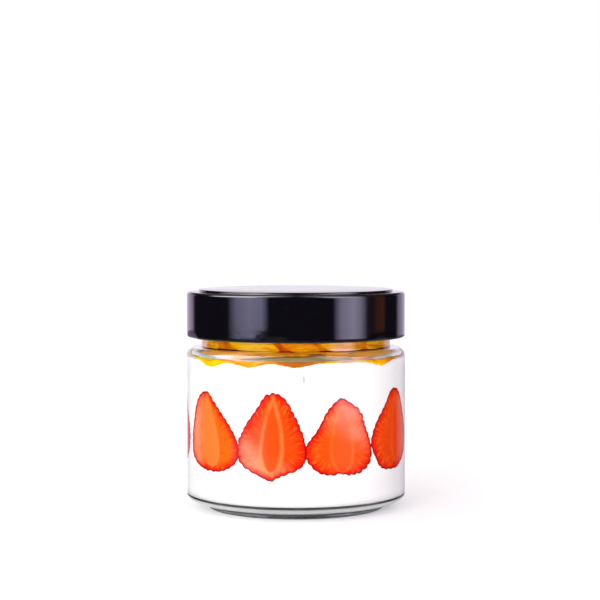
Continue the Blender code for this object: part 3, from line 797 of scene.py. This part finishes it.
def strip_mesh():
    """Rows down the glass from the top to the wavy edge, and back up behind."""
    points, places, faces = [], [], []
    for i in range(STRIP_STEPS):
        angle = math.tau * i / STRIP_STEPS
        low = min(strip_base(angle), STRIP_TOP - STRIP_LEAST)
        thickness = min(STRIP_THICKNESS, 0.6 * (STRIP_TOP - low))
        for row in range(STRIP_ROWS):
            share = row / (STRIP_ROWS - 1)
            height = STRIP_TOP + (low - STRIP_TOP) * (1.0 - abs(1.0 - 2.0 * share) ** 1.5)
            sink = thickness * ease((share - STRIP_FACE) / STRIP_TURN)
            points.append(round_jar(angle, inner_radius(height) + FRUIT_PROUD - sink, height))
            place = (angle * BODY_INNER_RADIUS / MM, (height - low) / MM, wave_value(STRIP_TONES, angle))
            places.append(place)
        here, there = STRIP_ROWS * i, STRIP_ROWS * ((i + 1) % STRIP_STEPS)
        for row in range(STRIP_ROWS):
            after = (row + 1) % STRIP_ROWS
            faces.append((here + row, here + after, there + after, there + row))
    return painted_mesh("fruit_strip", points, faces, fibre_place=places)


def fruit_material():
    material, tree, shader, _ = new_material("orange fruit")
    fibre_place = attribute(tree, "fibre_place")
    _, _, tone = split(tree, fibre_place)
    stretch = add_node(tree, "ShaderNodeMapping", {"Vector": fibre_place, "Scale": (0.14, 1.3, 3.0)})
    streaks, pale_fibres, dark_fibres = fibres(tree, stretch.outputs[0], 1.0)
    broad, _ = mottled(tree, object_place(tree), 120.0, 600.0)
    shade = math_node(tree, "ADD", product(tree, broad, 0.6), product(tree, tone, 0.7))
    flesh = blend(tree, remap(tree, shade, 0.30, 0.95), colour(238, 122, 2), colour(252, 186, 4))
    flesh = blend(tree, remap(tree, tone, 0.70, 0.90), flesh, colour(244, 204, 4))
    flesh = blend(tree, product(tree, dark_fibres, 0.75), flesh, colour(212, 96, 1))
    flesh = blend(tree, product(tree, pale_fibres, 0.7), flesh, colour(254, 206, 26))
    flesh = blend(tree, remap(tree, tone, 0.0, 0.25, 0.9, 0.0), flesh, colour(170, 92, 22))
    juice = blend(tree, remap(tree, broad, 0.35, 0.65), colour(190, 60, 1), colour(232, 132, 4))
    flesh = blend(tree, remap(tree, tone, -0.5, 0.0, 1.0, 0.0), flesh, juice)
    tree.links.new(flesh, shader.inputs["Base Color"])
    tree.links.new(remap(tree, streaks, 0.3, 0.7, 0.2, 0.4), shader.inputs["Roughness"])
    tree.links.new(bump(tree, streaks, 0.00010), shader.inputs["Normal"])
    shader.inputs["Specular IOR Level"].default_value = 0.04
    return material


orange_flesh = fruit_material()
add_piece(heap_mesh(), orange_flesh, "fruit")
add_piece(strip_mesh(), orange_flesh, "fruit_strip")


# ================================================================ the lid
# A deep twist lid pressed from steel sheet and lacquered black. Its top is a flat panel raised a
# little inside a rim, its foot is curled inwards, and six lugs are pressed into the curl.

LID_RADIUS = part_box("lid")[1][0]
LID_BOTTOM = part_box("lid")[0][2]
LID_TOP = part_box("lid")[1][2]
LID_SHEET = 0.6 * MM
LID_CORNER = 1.3 * MM
PANEL_RADIUS = 38.4 * MM
PANEL_RISE = 0.9 * MM
CURL_RADIUS = 1.15 * MM
CURL_REACH = 0.5 * MM  # the curl's end meets the inside of the skirt this far above the lugs
LUG_COUNT = 6
LUG_DEPTH = 0.5 * MM
LUG_HALF_WIDTH = 11.0  # degrees
LUG_REACH = 3.2 * MM
FIRST_LUG = 50.0  # degrees
LID_STEPS = 360


def lid_profile():
    """The lid's sheet from the middle of its top, down the outside, round the curl and back."""
    ring_top = LID_TOP - PANEL_RISE
    corner = (LID_RADIUS - LID_CORNER, ring_top - LID_CORNER)
    step = 0.45 * PANEL_RISE
    outside = [(0.0, LID_TOP), (0.5 * PANEL_RADIUS, LID_TOP)]
    outside += arc((PANEL_RADIUS - step, LID_TOP - step), (step, step), 90, 10, 6)
    outside += arc((PANEL_RADIUS + step, ring_top + step), (step, step), 190, 270, 6)
    outside += arc(corner, (LID_CORNER, LID_CORNER), 90, 0, 10)
    curl = (LID_RADIUS - CURL_RADIUS, LID_BOTTOM + CURL_RADIUS)
    skirt_low = LID_BOTTOM + LUG_REACH
    outside += [(LID_RADIUS, corner[1] + (skirt_low - corner[1]) * i / 6) for i in range(1, 7)]
    outside += [(LID_RADIUS, skirt_low + (curl[1] - skirt_low) * i / 6) for i in range(1, 6)]
    outside += arc(curl, (CURL_RADIUS, CURL_RADIUS), 0, -200, 16)
    inner_wall = LID_RADIUS - LID_SHEET
    inside = [(LID_RADIUS - 1.7 * CURL_RADIUS, curl[1] + CURL_RADIUS)]
    inside += [(inner_wall, LID_BOTTOM + LUG_REACH + CURL_REACH)]
    inside += [(inner_wall, corner[1]), (corner[0], ring_top - LID_SHEET)]
    inside += [(PANEL_RADIUS + 0.5 * PANEL_RISE, ring_top - LID_SHEET)]
    inside += [(PANEL_RADIUS - LID_SHEET, LID_TOP - LID_SHEET), (0.0, LID_TOP - LID_SHEET)]
    return outside + inside


def press_lugs(angle, radius, height):
    """Presses the skirt's foot inwards at each lug."""
    fade = 1.0 - ease((height - LID_BOTTOM) / LUG_REACH)
    if fade <= 0.0 or radius < PANEL_RADIUS:
        return radius, height
    pitch = 360.0 / LUG_COUNT
    off = abs((math.degrees(angle) - FIRST_LUG + pitch / 2) % pitch - pitch / 2)
    return radius - LUG_DEPTH * fade * ease(1.2 * (1.0 - off / LUG_HALF_WIDTH)), height


def lacquer_material():
    material, tree, shader, _ = new_material("black lacquer")
    broad, peel = mottled(tree, object_place(tree), 60.0, 420.0)
    tone = blend(tree, broad, colour(5, 4, 8), colour(9, 7, 13))
    tree.links.new(tone, shader.inputs["Base Color"])
    tree.links.new(remap(tree, broad, 0.3, 0.7, 0.05, 0.08), shader.inputs["Roughness"])
    tree.links.new(bump(tree, peel, 0.00001), shader.inputs["Normal"])
    return material


lid_mesh = turned("twist_lid", lid_profile(), even_angles(LID_STEPS), press_lugs)
add_piece(lid_mesh, lacquer_material(), "lid")


# ================================================================ the studio
# A pale floor and a white surround with soft even light. Shiny surfaces see the room instead: dark in
# front, with a tall soft light on each side, another overhead, and the white wall behind.

FLOOR_RADIUS = 4.0
FLOOR_DEPTH = 5.0 * MM
BACKDROP = (1.0, 1.0, 1.0)
SKY = (1.13, 1.13, 1.13)  # the light that matt surfaces get, on the left and on the right
SKY_RIGHT = (0.74, 0.64, 0.75)
GROUND = (0.22, 0.22, 0.21)
GROUND_THROUGH_GLASS = (0.03, 0.032, 0.03)
THROUGH_GLASS = (0.95, 0.95, 0.95)
WALL_BEHIND = (0.7, 0.7, 0.7)
DARK = (0.0, 0.0, 0.0)
# What shiny surfaces see of the room: degrees round the jar from the front, and the colour there
LEFT_BOX = (
    (-180, DARK), (-75, DARK), (-64, (2.4, 2.3, 3.5)), (-50, (3.4, 3.2, 4.9)), (-36, (3.0, 2.9, 4.5)),
    (-28, DARK), (180, DARK),
)
RIGHT_BOX = (
    (-180, DARK), (39, DARK), (48, (3.4, 3.1, 4.7)), (62, (4.6, 4.2, 6.0)), (70, (3.2, 2.9, 4.2)),
    (80, (0.12, 0.09, 0.12)), (88, (0.10, 0.03, 0.01)), (94, (0.46, 0.12, 0.01)),
    (103, (0.46, 0.12, 0.01)), (109, DARK), (180, DARK),
)
WALLS = (
    (-180, (1.05, 1.00, 1.10)), (-140, (1.05, 0.82, 1.22)), (-132, (0.02, 0.02, 0.03)),
    (130, (0.02, 0.02, 0.03)), (138, (0.82, 0.66, 0.98)), (180, (1.05, 1.00, 1.10)),
)
OVERHEAD = (
    (-180, (0.1, 0.1, 0.1)), (-116, (0.1, 0.1, 0.1)), (-106, (11.0, 10.2, 10.8)), (-54, (11.0, 10.2, 10.8)),
    (-42, (0.1, 0.1, 0.12)), (30, (0.1, 0.1, 0.12)), (48, (6.5, 6.3, 6.9)), (76, (6.5, 6.3, 6.9)),
    (90, (0.1, 0.1, 0.12)), (180, (0.1, 0.1, 0.1)),
)
# What lies lower on the jar mirrors what lies lower in the room. The light there changes between the
# two values of each pair, which are the up part of a ray's direction.
LEFT_AT_LID_FOOT = (-0.0706, -0.0692)
LEFT_AT_HEEL = (-0.128, -0.118)
RIGHT_AT_LID_FOOT = (-0.0707, -0.0705)
RIGHT_AT_NECK = (-0.0734, -0.0722)
RIGHT_AT_SHOULDER = (-0.0785, -0.0762)
RIGHT_AT_HEEL = (-0.124, -0.108)
WALL_LOW = (-0.085, -0.0705)
WALL_HIGH = (0.15, 0.35)
CEILING = (0.38, 0.50)
GROUND_EDGE = (-0.45, -0.25)
BACK_LEFT = (-3.0, -2.7)  # radians round the room; the wall is brighter low down before these
LIGHTS = (
    # name, angle round the jar from the front, distance, height, size, watts, colour
    ("key", -38.0, 1.15, 0.55, 0.7, 2.4, (1.0, 1.0, 1.0)),
    ("front", -22.0, 1.2, 0.06, 0.5, 8.5, (1.0, 1.0, 1.0)),
    ("front right", 30.0, 1.2, 0.06, 0.5, 4.2, (1.0, 0.95, 1.0)),
)
LIGHTS_AIM = 0.04  # height of the point that they face


def round_room(tree, share, stops):
    """Colours round the room by direction."""
    ramp = add_node(tree, "ShaderNodeValToRGB", {"Fac": share})
    elements = ramp.color_ramp.elements
    elements.remove(elements[1])
    elements[0].position = 0.0
    elements[0].color = (*stops[0][1], 1.0)
    for degrees, tint in stops[1:]:
        elements.new(degrees / 360 + 0.5).color = (*tint, 1.0)
    return ramp.outputs[0]


def scaled(tree, tint, factor):
    inputs = {0: tint, "Scale": factor}
    return add_node(tree, "ShaderNodeVectorMath", inputs, operation="SCALE").outputs[0]


def added(tree, first, second):
    return add_node(tree, "ShaderNodeVectorMath", {0: first, 1: second}, operation="ADD").outputs[0]


def room_world():
    world = bpy.data.worlds.new("studio")
    bpy.context.scene.world = world
    world.use_nodes = True
    world.cycles.sampling_method = "NONE"
    tree = world.node_tree
    background = tree.nodes["Background"]
    right, back, up = split(tree, add_node(tree, "ShaderNodeTexCoord").outputs["Generated"])
    angle = math_node(tree, "ARCTAN2", right, product(tree, back, -1.0))
    share = math_node(tree, "ADD", product(tree, angle, 1.0 / math.tau), 0.5)
    left_light = math_node(tree, "ADD", remap(tree, up, *LEFT_AT_LID_FOOT, 0.04, 0.96),
                           remap(tree, up, *LEFT_AT_HEEL, 0.16, 0.04))
    right_light = product(tree, remap(tree, up, *RIGHT_AT_NECK, 1.7, 0.4),
                          remap(tree, up, *RIGHT_AT_LID_FOOT, 1.0, 2.5),
                          remap(tree, up, *RIGHT_AT_SHOULDER, 0.28, 1.0),
                          remap(tree, up, *RIGHT_AT_HEEL, 0.1, 1.0))
    boxes = added(tree, scaled(tree, round_room(tree, share, LEFT_BOX), left_light),
                  scaled(tree, round_room(tree, share, RIGHT_BOX), right_light))
    boxes = scaled(tree, boxes, remap(tree, up, *CEILING, 1.0, 0.0))
    walls = scaled(tree, round_room(tree, share, WALLS), remap(tree, up, *WALL_HIGH, 1.0, 0.05))
    walls = scaled(tree, walls, remap(tree, up, *WALL_LOW, 0.35, 1.0))
    behind = product(tree, remap(tree, angle, *BACK_LEFT, 1.0, 0.0), remap(tree, up, *WALL_LOW, 1.0, 0.0))
    walls = added(tree, walls, scaled(tree, WALL_BEHIND, behind))
    ceiling = scaled(tree, round_room(tree, share, OVERHEAD), remap(tree, up, *CEILING))
    room = added(tree, added(tree, boxes, walls), ceiling)
    ground = remap(tree, up, *GROUND_EDGE, 1.0, 0.0)
    room = blend(tree, ground, room, (*GROUND, 1.0))
    rays = add_node(tree, "ShaderNodeLightPath").outputs
    through = blend(tree, remap(tree, right, -0.7, 0.5, 0.75, 0.6), room, (*THROUGH_GLASS, 1.0))
    through = blend(tree, ground, through, (*GROUND_THROUGH_GLASS, 1.0))
    seen = blend(tree, rays["Is Transmission Ray"], room, through)
    sky = blend(tree, remap(tree, right, 0.1, 0.9), (*SKY, 1.0), (*SKY_RIGHT, 1.0))
    seen = blend(tree, rays["Is Diffuse Ray"], seen, sky)
    seen = blend(tree, rays["Is Camera Ray"], seen, (*BACKDROP, 1.0))
    tree.links.new(seen, background.inputs["Color"])


def add_light(name, angle, distance, height, size, watts, tint):
    light = bpy.data.lights.new(name, "AREA")
    light.size = size
    light.energy = watts
    light.color = tint
    lamp = add_object(name, light)
    lamp.location = round_jar(math.radians(angle), distance, height)
    aim = Vector((0.0, 0.0, LIGHTS_AIM)) - lamp.location
    lamp.rotation_euler = aim.to_track_quat("-Z", "Y").to_euler()
    lamp.visible_camera = False
    lamp.visible_glossy = False
    lamp.visible_transmission = False


def add_floor():
    material, tree, shader, _ = new_material("pale floor")
    speckle = noise_node(tree, object_place(tree), 300.0, 3.0)
    tone = blend(tree, speckle, colour(252, 252, 252), colour(254, 254, 254))
    tree.links.new(tone, shader.inputs["Base Color"])
    shader.inputs["Roughness"].default_value = 0.9
    shader.inputs["Specular IOR Level"].default_value = 0.0
    profile = [(0.0, 0.0), (FLOOR_RADIUS, 0.0), (FLOOR_RADIUS, -FLOOR_DEPTH), (0.0, -FLOOR_DEPTH)]
    mesh = turned("floor", profile, even_angles(96))
    mesh.materials.append(material)
    floor = add_object("floor", mesh)
    floor.visible_glossy = False
    floor.visible_transmission = False


room_world()
for settings in LIGHTS:
    add_light(*settings)
add_floor()

CAMERA_PLACE = (0.0, -0.6995, 0.1136)
CAMERA_PITCH = 2.607  # degrees below level
CAMERA_TURN = 0.134  # degrees to the right of the jar's middle
CAMERA_LENS = 105.93  # mm on a 36 mm sensor

lens = bpy.data.cameras.new("camera")
lens.lens = CAMERA_LENS
lens.sensor_width = 36.0
camera = add_object("camera", lens)
camera.location = CAMERA_PLACE
camera.rotation_euler = (math.radians(90.0 - CAMERA_PITCH), 0.0, math.radians(-CAMERA_TURN))
scene = bpy.context.scene
scene.camera = camera
scene.view_settings.view_transform = "Standard"
